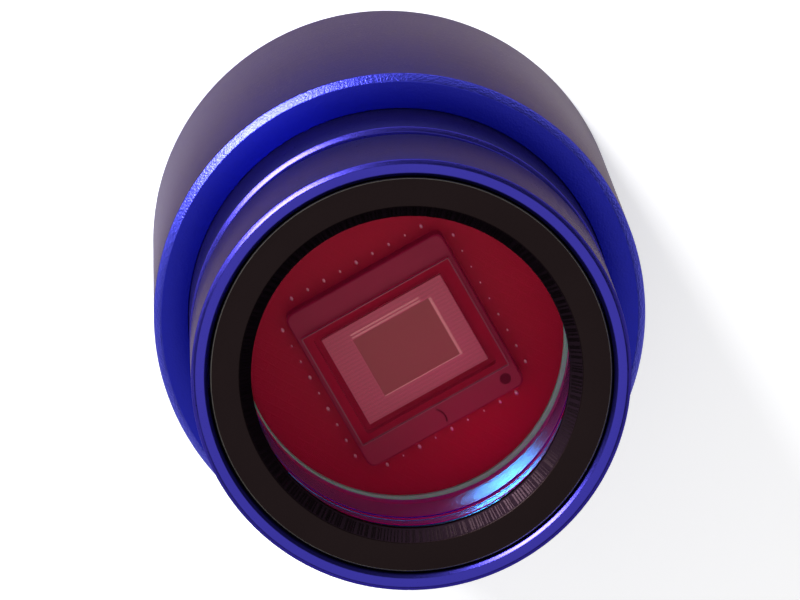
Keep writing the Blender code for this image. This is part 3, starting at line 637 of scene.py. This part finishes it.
def grow_rows():
    """Copies of one mesh in a row at each side of a square, uneven in size."""
    tree, given = new_tree("rows around a square", {
        "Count": "Int", "Pitch": "Float", "From centre": "Float", "Sides": "Int", "Smallest": "Float",
        "Seed": "Int"})
    gaps = add(tree, "ShaderNodeMath", {0: given["Count"], 1: 1.0}, operation="SUBTRACT").outputs[0]
    span = add(tree, "ShaderNodeMath", {0: gaps, 1: given["Pitch"]}, operation="MULTIPLY").outputs[0]
    left = add(tree, "ShaderNodeMath", {0: span, 1: -0.5}, operation="MULTIPLY").outputs[0]
    below = add(tree, "ShaderNodeMath", {0: given["From centre"], 1: -1.0}, operation="MULTIPLY").outputs[0]
    start = add(tree, "ShaderNodeCombineXYZ", {"X": left, "Y": below}).outputs[0]
    step = add(tree, "ShaderNodeCombineXYZ", {"X": given["Pitch"]}).outputs[0]
    row = add(tree, "GeometryNodeMeshLine", {
        "Count": given["Count"], "Start Location": start, "Offset": step})
    sides = add(tree, "GeometryNodePoints", {"Count": given["Sides"]})
    index = add(tree, "GeometryNodeInputIndex").outputs[0]
    share = add(tree, "ShaderNodeMath", {0: index, 1: given["Sides"]}, operation="DIVIDE").outputs[0]
    angle = add(tree, "ShaderNodeMath", {0: share, 1: math.tau}, operation="MULTIPLY").outputs[0]
    turn = add(tree, "ShaderNodeCombineXYZ", {"Z": angle}).outputs[0]
    rows = add(tree, "GeometryNodeInstanceOnPoints", {
        "Points": sides.outputs[0], "Instance": row.outputs[0], "Rotation": turn})
    spots = add(tree, "GeometryNodeRealizeInstances", {0: rows.outputs[0]})
    size = add(tree, "FunctionNodeRandomValue", {
        2: given["Smallest"], 3: 1.0, "Seed": given["Seed"]}).outputs[1]
    copies = add(tree, "GeometryNodeInstanceOnPoints", {
        "Points": spots.outputs[0], "Instance": given["Geometry"], "Scale": size})
    return close_tree(tree, given, copies)


def plated(name, colour, shade, roughness):
    """Plated or tinned metal, with faint lines that were drawn or wiped along it."""
    material, tree, shader = start_finish(name, Metallic=1.0)
    place = add(tree, "ShaderNodeTexCoord").outputs["Object"]
    along = add(tree, "ShaderNodeMapping", {"Vector": place, "Scale": (1, 1, WIPE_STRETCH)})
    lines = add(tree, "ShaderNodeTexNoise", {
        "Vector": along.outputs[0], "Scale": 1 / WIPE_LINE, "Detail": 2.0})
    colours = add(tree, "ShaderNodeMix", {0: lines.outputs["Fac"], 6: linear(colour), 7: linear(shade)},
                  data_type="RGBA")
    matt = add(tree, "ShaderNodeMapRange", {
        "Value": lines.outputs["Fac"], "To Min": roughness * BRIGHTER, "To Max": roughness * DULLER})
    tree.links.new(colours.outputs[2], shader.inputs["Base Color"])
    tree.links.new(matt.outputs[0], shader.inputs["Roughness"])
    return material


tin = plated("tin solder", "#fff0f4", "#ecdce2", 0.5)
ROWS = grow_rows()
drop = bmesh.new()
bmesh.ops.create_uvsphere(drop, u_segments=10, v_segments=6, radius=0.5)
bmesh.ops.transform(drop, matrix=Matrix.Diagonal((DROP_WIDTH, DROP_LENGTH, DROP_HEIGHT, 1)), verts=drop.verts)
copied(
    "sensor_solder", drop, ROWS,
    {"Count": DROPS_PER_SIDE, "Pitch": DROP_PITCH, "From centre": DROP_ROW, "Sides": SENSOR_SIDES,
     "Smallest": 0.25, "Seed": 4},
    tin, place=SENSOR_FRAME @ Matrix.Translation((0, 0, -board_front)),
)
print("tin drops:", SENSOR_SIDES * DROPS_PER_SIDE, "at", DROP_PITCH / MM, "mm")

# %% [markdown]
# ## Image sensor
#
# A square moulded frame holds the chip in a cavity under a glass lid. The lid leaves a band of the frame free
# above and below, with a dimple at one corner and a curved notch in the lower band. On the chip, a paler
# border of circuits surrounds the browner field of pixels, and bare metal paths run beside it.

# %% Frame with its cavity
PACKAGE_SIDE, PACKAGE_CORNER = 13.1 * MM, 0.6 * MM
CAVITY_WIDTH, CAVITY_HEIGHT, CAVITY_CORNER, CAVITY_DEPTH = 11.0 * MM, 8.3 * MM, 0.3 * MM, 1.1 * MM
FRAME_EDGE = 0.1 * MM
TOP_SIDE = PACKAGE_SIDE - 2 * FRAME_EDGE
LID_WIDTH, LID_HEIGHT, LID_CORNER, LID_EDGE = 12.4 * MM, 9.3 * MM, 0.12 * MM, 0.07 * MM
REAR_FACING = -0.5
RESIN_CLOUD, RESIN_GRAIN, GRAIN_DEPTH = 1.8 * MM, 0.08 * MM, 0.002 * MM
GRAIN_SMOOTHER, GRAIN_ROUGHER = 0.85, 1.15


def moulded(name, colour, worn, roughness, shine=0.3):
    """Moulded resin or rubber: clouds of two tones and a fine dull grain."""
    material, tree, shader = start_finish(name, Specular_IOR_Level=shine)
    place = add(tree, "ShaderNodeTexCoord").outputs["Object"]
    clouds = add(tree, "ShaderNodeTexNoise", {"Vector": place, "Scale": 1 / RESIN_CLOUD, "Detail": 2.0})
    colours = add(tree, "ShaderNodeMix", {0: clouds.outputs["Fac"], 6: linear(colour), 7: linear(worn)},
                  data_type="RGBA")
    fine = add(tree, "ShaderNodeTexNoise", {"Vector": place, "Scale": 1 / RESIN_GRAIN, "Detail": 2.0})
    matt = add(tree, "ShaderNodeMapRange", {
        "Value": fine.outputs["Fac"], "To Min": roughness * GRAIN_SMOOTHER,
        "To Max": min(1.0, roughness * GRAIN_ROUGHER)})
    bump = add(tree, "ShaderNodeBump", {"Height": fine.outputs["Fac"], "Distance": GRAIN_DEPTH})
    tree.links.new(colours.outputs[2], shader.inputs["Base Color"])
    tree.links.new(matt.outputs[0], shader.inputs["Roughness"])
    tree.links.new(bump.outputs[0], shader.inputs["Normal"])
    return material


def rectangle(width, height, corner=0.0, steps=4):
    """Points around an upright rectangle about the origin, with round corners where a radius is given."""
    if corner <= 0:
        return [(sx * width / 2, sy * height / 2) for sx, sy in ((-1, -1), (1, -1), (1, 1), (-1, 1))]
    points = []
    for turn, (sx, sy) in enumerate(((1, 1), (-1, 1), (-1, -1), (1, -1))):
        for k in range(steps + 1):
            angle = (turn + k / steps) * math.pi / 2
            points.append((sx * (width / 2 - corner) + corner * math.cos(angle),
                           sy * (height / 2 - corner) + corner * math.sin(angle)))
    return points


def framed_block(levels):
    """A closed block through outlines of equal count, each at its depth. The outer two are end faces."""
    bm = bmesh.new()
    rings = [[bm.verts.new((x, y, -depth)) for x, y in outline] for outline, depth in levels]
    bm.faces.new(rings[0])
    bm.faces.new(rings[-1])
    for near, far in zip(rings, rings[1:]):
        for i in range(len(near)):
            j = (i + 1) % len(near)
            bm.faces.new((near[i], near[j], far[j], far[i]))
    return bm


package_resin = moulded("moulded sensor frame", "#8d1a3c", "#831636", 0.5)
# A lighter copy of the red resin: painted light that lifts the shade of the lid and the cavity walls
under_lid_brightened_resin = moulded("red resin brightened against the lid's shade", "#c8083e", "#be0636", 0.6, 0.1)
package_front, package_rear = depths("sensor_package")
cavity_floor = package_front + CAVITY_DEPTH
package = keep(
    "sensor_package_frame",
    framed_block([
        (rectangle(PACKAGE_SIDE, PACKAGE_SIDE, PACKAGE_CORNER), package_rear),
        (rectangle(PACKAGE_SIDE, PACKAGE_SIDE, PACKAGE_CORNER), package_front + FRAME_EDGE),
        (rectangle(TOP_SIDE, TOP_SIDE, PACKAGE_CORNER), package_front),
        (rectangle(LID_WIDTH, LID_HEIGHT, LID_CORNER), package_front),
        (rectangle(CAVITY_WIDTH, CAVITY_HEIGHT, CAVITY_CORNER), package_front),
        (rectangle(CAVITY_WIDTH, CAVITY_HEIGHT, CAVITY_CORNER), cavity_floor),
    ]),
    package_resin, ["sensor_package"], place=SENSOR_FRAME,
)
package.data.materials.append(under_lid_brightened_resin)


def under_lid(face):
    """Whether a face of the frame lies under the lid, on its seat or in the cavity."""
    x, y, _ = SENSOR_FRAME.inverted() @ face.center
    return max(abs(x) - LID_WIDTH / 2, abs(y) - LID_HEIGHT / 2) < -HAIR


# Under the lid the frame takes the lighter red, painted against the shade there
for face in package.data.polygons:
    face.material_index = 1 if face.normal.z > REAR_FACING and under_lid(face) else 0
print("sensor frame:", len(package.data.polygons), "faces")

# %% Marks of the mould
MARK = 0.015 * MM
LEVEL = 1e-9
DIMPLE_R, DIMPLE_X, DIMPLE_Y, DIMPLE_STEPS = 0.42 * MM, 5.4 * MM, -5.5 * MM, 24
NOTCH_WIDTH, NOTCH_R, NOTCH_X, NOTCH_Y = 0.13 * MM, 1.0 * MM, -0.75 * MM, -5.75 * MM
NOTCH_START, NOTCH_TURN, NOTCH_STEPS = math.radians(-28), math.radians(80), 8


def slab(outline, front, thickness, edge=0.0, x=0.0, y=0.0, bm=None):
    """A flat outline with some thickness towards the rear, its long edges eased where edge is given."""
    bm = bm or bmesh.new()
    face = bm.faces.new([bm.verts.new((x + px, y + py, -front)) for px, py in outline])
    grown = bmesh.ops.extrude_face_region(bm, geom=[face], use_keep_orig=True)
    moved = [v for v in grown["geom"] if isinstance(v, bmesh.types.BMVert)]
    bmesh.ops.translate(bm, verts=moved, vec=(0, 0, -thickness))
    if edge:
        bmesh.ops.recalc_face_normals(bm, faces=bm.faces)
        rims = [e for e in bm.edges if abs(e.verts[0].co.z - e.verts[1].co.z) < LEVEL]
        bmesh.ops.bevel(bm, geom=rims, offset=edge, segments=2, profile=0.7, affect="EDGES")
    return bm


# The dimple and the notch are thin dark sheets on the frame, not hollows. Their dark colour is painted shade.
hollow_shade_mark = moulded("painted shade of the mould hollows", "#4a0418", "#420012", 0.6, 0.1)
dimple_angles = [k * math.tau / DIMPLE_STEPS for k in range(DIMPLE_STEPS)]
dimple = [(DIMPLE_R * math.cos(a), DIMPLE_R * math.sin(a)) for a in dimple_angles]
marks = slab(dimple, package_front - MARK, MARK, x=DIMPLE_X, y=DIMPLE_Y)
notch_angles = [NOTCH_START + NOTCH_TURN * k / NOTCH_STEPS for k in range(NOTCH_STEPS + 1)]
notch = [(NOTCH_R * math.cos(a), NOTCH_R * math.sin(a)) for a in notch_angles]
notch_inner = NOTCH_R - NOTCH_WIDTH
notch += [(notch_inner * math.cos(a), notch_inner * math.sin(a)) for a in reversed(notch_angles)]
slab(notch, package_front - MARK, MARK, x=NOTCH_X, y=NOTCH_Y, bm=marks)
mould_marks = keep("sensor_mould_marks", marks, hollow_shade_mark, place=SENSOR_FRAME)
print("mould marks:", len(mould_marks.data.polygons), "faces")

# %% Chip
DIE_WIDTH, DIE_HEIGHT, DIE_EDGE = 10.0 * MM, 7.3 * MM, 0.03 * MM
FIELD_WIDTH, FIELD_HEIGHT, FIELD_X, FIELD_Y = 6.35 * MM, 4.8 * MM, 0.2 * MM, 0.12 * MM
FILM = 0.012 * MM
CIRCUIT_ROW = 0.3 * MM
PIXEL_ROW = 0.1 * MM
ROW_DULLER = 1.3
# A wave texture runs through this many radians for each unit of its scale
WAVE_RADIANS = 20
NEAR_LOW, NEAR_HIGH, FAR_LOW, FAR_HIGH = 0.08 * MM, 0.22 * MM, 0.32 * MM, 0.46 * MM
PATH_STOP, SIDE_PATH, LOW_PATH = 0.6 * MM, 0.22 * MM, 0.08 * MM


def etched_silicon(name, colour, shade, row, roughness):
    """Silicon with rows of circuits. They are far finer than this, and drawn coarse enough to show."""
    material, tree, shader = start_finish(name, Specular_IOR_Level=0.4)
    place = add(tree, "ShaderNodeTexCoord").outputs["Object"]
    turned_place = add(tree, "ShaderNodeMapping", {"Vector": place, "Rotation": (0, 0, -SENSOR_ROLL)})
    rows = add(tree, "ShaderNodeTexWave", {
        "Vector": turned_place.outputs[0], "Scale": math.tau / (WAVE_RADIANS * row), "Distortion": 0.4,
        "Detail": 1.0}, bands_direction="Y")
    colours = add(tree, "ShaderNodeMix", {0: rows.outputs["Fac"], 6: linear(colour), 7: linear(shade)},
                  data_type="RGBA")
    matt = add(tree, "ShaderNodeMapRange", {
        "Value": rows.outputs["Fac"], "To Min": roughness, "To Max": roughness * ROW_DULLER})
    tree.links.new(colours.outputs[2], shader.inputs["Base Color"])
    tree.links.new(matt.outputs[0], shader.inputs["Roughness"])
    return material


circuit_border = etched_silicon("silicon circuit border", "#ffc6d2", "#f6beca", CIRCUIT_ROW, 0.4)
pixel_field = etched_silicon("silicon pixel field", "#caaa98", "#c2a290", PIXEL_ROW, 0.35)
bare_paths = plated("bare metal paths", "#fff2ea", "#f4e4da", 0.45)
die_front, die_rear = depths("sensor_die")
keep("sensor_die_slab",
     slab(rectangle(DIE_WIDTH, DIE_HEIGHT), die_front, die_rear - die_front, DIE_EDGE),
     circuit_border, ["sensor_die"], place=SENSOR_FRAME)
keep("sensor_pixel_field",
     slab(rectangle(FIELD_WIDTH, FIELD_HEIGHT), die_front - FILM, FILM, x=FIELD_X, y=FIELD_Y),
     pixel_field, place=SENSOR_FRAME)

# Paths beside the pixels: two along the top, a broad one at the right, a thin one below
left, right = FIELD_X - FIELD_WIDTH / 2, FIELD_X + FIELD_WIDTH / 2
low, high = FIELD_Y - FIELD_HEIGHT / 2, FIELD_Y + FIELD_HEIGHT / 2
path_bars = (
    (left, right - PATH_STOP, high + NEAR_LOW, high + NEAR_HIGH),
    (left, right - PATH_STOP, high + FAR_LOW, high + FAR_HIGH),
    (right, right + SIDE_PATH, low, high),
    (left, right + SIDE_PATH, low - LOW_PATH, low),
)
path_bm = bmesh.new()
for x0, x1, y0, y1 in path_bars:
    slab(rectangle(x1 - x0, y1 - y0), die_front - FILM, FILM, x=(x0 + x1) / 2, y=(y0 + y1) / 2, bm=path_bm)
keep("sensor_metal_paths", path_bm, bare_paths, place=SENSOR_FRAME)
print("chip:", round(DIE_WIDTH / MM, 1), "x", round(DIE_HEIGHT / MM, 1), "mm")
print("bare paths:", len(path_bars))

# %% Lid
lid_glass = clear_pane("sensor lid glass", "#f8eaec", "#a05a70", 0.02, 0.3)
# The lid's sides are ground glass. Their pale colour is also a painted highlight along the lid's edges.
lid_edge_highlight = moulded("ground lid edge, painted highlight", "#a06a74", "#8c5a64", 0.5)
lid_front, lid_rear = depths("sensor_lid")
lid = keep("sensor_lid_pane",
           slab(rectangle(LID_WIDTH, LID_HEIGHT, LID_CORNER), lid_front, lid_rear - lid_front, LID_EDGE),
           lid_glass, ["sensor_lid"], place=SENSOR_FRAME)
lid.data.materials.append(lid_edge_highlight)
for face in lid.data.polygons:
    face.material_index = 0 if abs(face.normal.z) > ALMOST_FLAT else 1
print("lid:", len(lid.data.polygons), "faces")

# %% [markdown]
# ## Rear cover, sockets and boards
#
# The rear is hidden in the photograph, so it has what such cameras have there and no more: a cover let into
# the shell, four sunk screws, a data socket and a guide socket. Their solids carry the shape already and only
# need the finish of each piece. Inside, the boards and their parts are dressed in the same way.

# %% Finish the solids that keep their shape
pale_silicone = moulded("pale silicone", "#84ffd4", "#76f0c4", 0.45, 0.5)
black_rubber = moulded("black rubber", "#1d1c1d", "#252425", 0.8)
chip_resin = moulded("chip resin", "#1d1d1f", "#26262a", 0.5)
socket_plastic = moulded("black socket plastic", "#18181a", "#212124", 0.42, 0.5)
sleeve = moulded("capacitor sleeve", "#20283c", "#1a2030", 0.35, 0.5)
nickel = plated("nickel-plated steel", "#cbcac6", "#b4b3b0", 0.26)
gold = plated("gold-plated contact", "#e3bf6a", "#cfa750", 0.22)
black_steel = plated("black oxide steel", "#2c2c2f", "#232326", 0.36)
FINISH_BY_SLOT = {
    "anodised_blue": turned_blue,
    "anodised_black": black_aluminium,
    "rubber": black_rubber,
    "silicone": pale_silicone,
    "solder_mask": red_mask,
    "package": package_resin,
    "silicon": circuit_border,
    "window": window_coating,
    "lid": lid_glass,
    "chip": chip_resin,
    "connector": socket_plastic,
    "steel": nickel,
    "gold": gold,
    "sleeve": sleeve,
    "black_steel": black_steel,
}
dressed = 0
for entry in frame["record"]["subparts"]:
    for material_slot in frame["nodes"][entry["node"]].material_slots:
        material_slot.material = FINISH_BY_SLOT[entry["material_slot"]]
        dressed += 1

# %% [markdown]
# ## Soft rings
#
# Four soft rings seal the camera: one at each face of the window, one between the nose and the board, and one
# under the rear cover. A moulded ring has round edges, so each is turned again at its solid's place. The pale
# gasket at the board lies a little off centre in its pocket, so its lip shows wider at one side, as it does
# in the photograph. The thin washer under the ring comes forward with it and doesn't turn.

# %% Turn the soft rings
SOFT_EDGE = 0.12 * MM
BOARD_GASKET_LIP = 0.18 * MM
GASKET_SHIFT = Vector((-0.15, 0.06, 0)) * MM
CENTRED = Vector()
SLIP_WIDTH, SEAL_WIDTH = 2.4 * MM, 1.9 * MM
SOFT_RINGS = (
    ("board_gasket", APERTURE_R - BOARD_GASKET_LIP, pale_silicone, "silicone", CAMERA_BODY, GASKET_SHIFT),
    ("window_seal", GLASS_R - SEAL_WIDTH, black_rubber, "rubber", CAMERA_BODY, CENTRED),
    ("cover_seal", BODY_BORE_R, black_rubber, "rubber", CAMERA_BODY, CENTRED),
    ("slip_gasket", GLASS_R - SLIP_WIDTH, black_rubber, "rubber", CARRIER_BODY, CENTRED),
)
for node, inner, material, slot, body, shift in SOFT_RINGS:
    front, rear = depths(node)
    outer = half_width(node)
    section = [(inner, front), (outer, front), (outer, rear), (inner, rear)]
    keep(node + "_ring", turned(eased(section, SOFT_EDGE), DISC_STEPS), material, [node], body,
         AXIS_FRAME @ Matrix.Translation(shift))
print("soft rings:", len(SOFT_RINGS))

# %% [markdown]
# ## Data contacts
#
# The tongue of the data socket carries two gold contacts on each broad side. The rows that placed the tin
# drops place them too, with two sides instead of four and copies of equal size.

# %% Contacts of the data socket
CONTACT_WIDTH, CONTACT_LENGTH, CONTACT_HEIGHT = 0.9 * MM, 6.0 * MM, 0.16 * MM
CONTACT_PITCH, CONTACT_EDGE, CONTACT_SETBACK = 2.5 * MM, 0.05 * MM, 0.6 * MM
tongue_low, tongue_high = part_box("usb_tongue")
TONGUE_HALF = (tongue_high.y - tongue_low.y) / 2
contact = bmesh.new()
bmesh.ops.create_cube(contact, size=1)
bmesh.ops.transform(contact, verts=contact.verts, matrix=Matrix.Diagonal(
    (CONTACT_WIDTH, CONTACT_HEIGHT, CONTACT_LENGTH, 1)))
bmesh.ops.bevel(contact, geom=contact.edges[:], offset=CONTACT_EDGE, segments=2, profile=0.7, affect="EDGES")
on_tongue = Matrix.Translation((
    (tongue_low.x + tongue_high.x) / 2,
    (tongue_low.y + tongue_high.y) / 2,
    tongue_low.z + CONTACT_LENGTH / 2 + CONTACT_SETBACK,
))
copied(
    "usb_contacts", contact, ROWS,
    {"Count": 2, "Pitch": CONTACT_PITCH, "From centre": TONGUE_HALF, "Sides": 2, "Smallest": 1.0, "Seed": 1},
    gold, place=on_tongue,
)
print("data contacts: 4 at", CONTACT_PITCH / MM, "mm")

# %% [markdown]
# ## Floor and light
#
# The floor is white and larger than the view. It takes the shadow as any surface does. The rays of the camera
# and those that passed through glass see extra white in it, so the background stays white without more light
# on the metal. Mirror rays see half of that, which keeps the sides of the body from turning pale.
#
# A low, square lamp at the upper left draws the bright lines on the chamfers and reaches down the bore. A
# large lamp overhead is what the flat faces mirror. A grey world, darker towards the horizon, fills the rest.

# %% Floor
FLOOR_SIDE = 4.0
FLOOR_GLOW = 0.45
MIRRORED_GLOW = 0.5
FLOOR_DROP = 0.02 * MM
floor_bm = bmesh.new()
bmesh.ops.create_grid(floor_bm, x_segments=1, y_segments=1, size=FLOOR_SIDE / 2)
floor_mesh = bpy.data.meshes.new("floor")
floor_bm.to_mesh(floor_mesh)
floor_bm.free()
floor_mesh.transform(Matrix.Translation((0, 0, cad_low.z - FLOOR_DROP)))
floor = bpy.data.objects.new("floor", floor_mesh)
bpy.context.scene.collection.objects.link(floor)
floor_paint, floor_tree, floor_shader = start_finish(
    "white floor", Base_Color=linear("#f2f2f2"), Roughness=0.9, Specular_IOR_Level=0.1)
floor_shader.inputs["Emission Color"].default_value = (1, 1, 1, 1)
rays = add(floor_tree, "ShaderNodeLightPath").outputs
seen = add(floor_tree, "ShaderNodeMath", {
    0: rays["Is Glossy Ray"], 1: MIRRORED_GLOW, 2: rays["Is Camera Ray"]}, operation="MULTIPLY_ADD")
seen = add(floor_tree, "ShaderNodeMath", {
    0: seen.outputs[0], 1: rays["Is Transmission Ray"]}, operation="ADD")
glow = add(floor_tree, "ShaderNodeMath", {0: seen.outputs[0], 1: FLOOR_GLOW}, operation="MULTIPLY")
floor_tree.links.new(glow.outputs[0], floor_shader.inputs["Emission Strength"])
floor_mesh.materials.append(floor_paint)
floor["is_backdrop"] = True
print("floor:", FLOOR_SIDE, "m")

# %% Lamps and world
LOW_SKY, HIGH_SKY, SKY_RISE = 0.12, 0.6, 0.5


def soft_lamp(name, azimuth, elevation, distance, width, height, watts):
    """A flat lamp that looks at the camera from a direction given in degrees."""
    a, e = math.radians(azimuth), math.radians(elevation)
    towards = Vector((math.cos(a) * math.cos(e), math.sin(a) * math.cos(e), math.sin(e)))
    lamp = bpy.data.lights.new(name, "AREA")
    lamp.shape = "RECTANGLE"
    lamp.size = width
    lamp.size_y = height
    lamp.energy = watts
    obj = bpy.data.objects.new(name, lamp)
    obj.location = Vector((0, 0, HEIGHT / 2)) + towards * distance
    obj.rotation_euler = towards.to_track_quat("Z", "Y").to_euler()
    bpy.context.scene.collection.objects.link(obj)
    return obj


soft_lamp("key_lamp", azimuth=132, elevation=16.5, distance=0.8, width=0.36, height=0.36, watts=17.0)
soft_lamp("overhead_lamp", azimuth=250, elevation=76, distance=1.2, width=2.0, height=2.0, watts=9.0)
world = bpy.data.worlds.new("studio")
world.use_nodes = True
sky = add(world.node_tree, "ShaderNodeTexCoord").outputs["Generated"]
up = add(world.node_tree, "ShaderNodeSeparateXYZ", {0: sky}).outputs["Z"]
light = add(world.node_tree, "ShaderNodeMapRange", {
    "Value": up, "From Min": SKY_RISE, "From Max": 1.0, "To Min": LOW_SKY, "To Max": HIGH_SKY})
background = world.node_tree.nodes["Background"]
background.inputs["Color"].default_value = linear("#e4e4e6")
world.node_tree.links.new(light.outputs[0], background.inputs["Strength"])
bpy.context.scene.world = world

# %% Print the visual size
low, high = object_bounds()
print("visual box", [round((b - a) / MM, 3) for a, b in zip(low, high)], "mm")
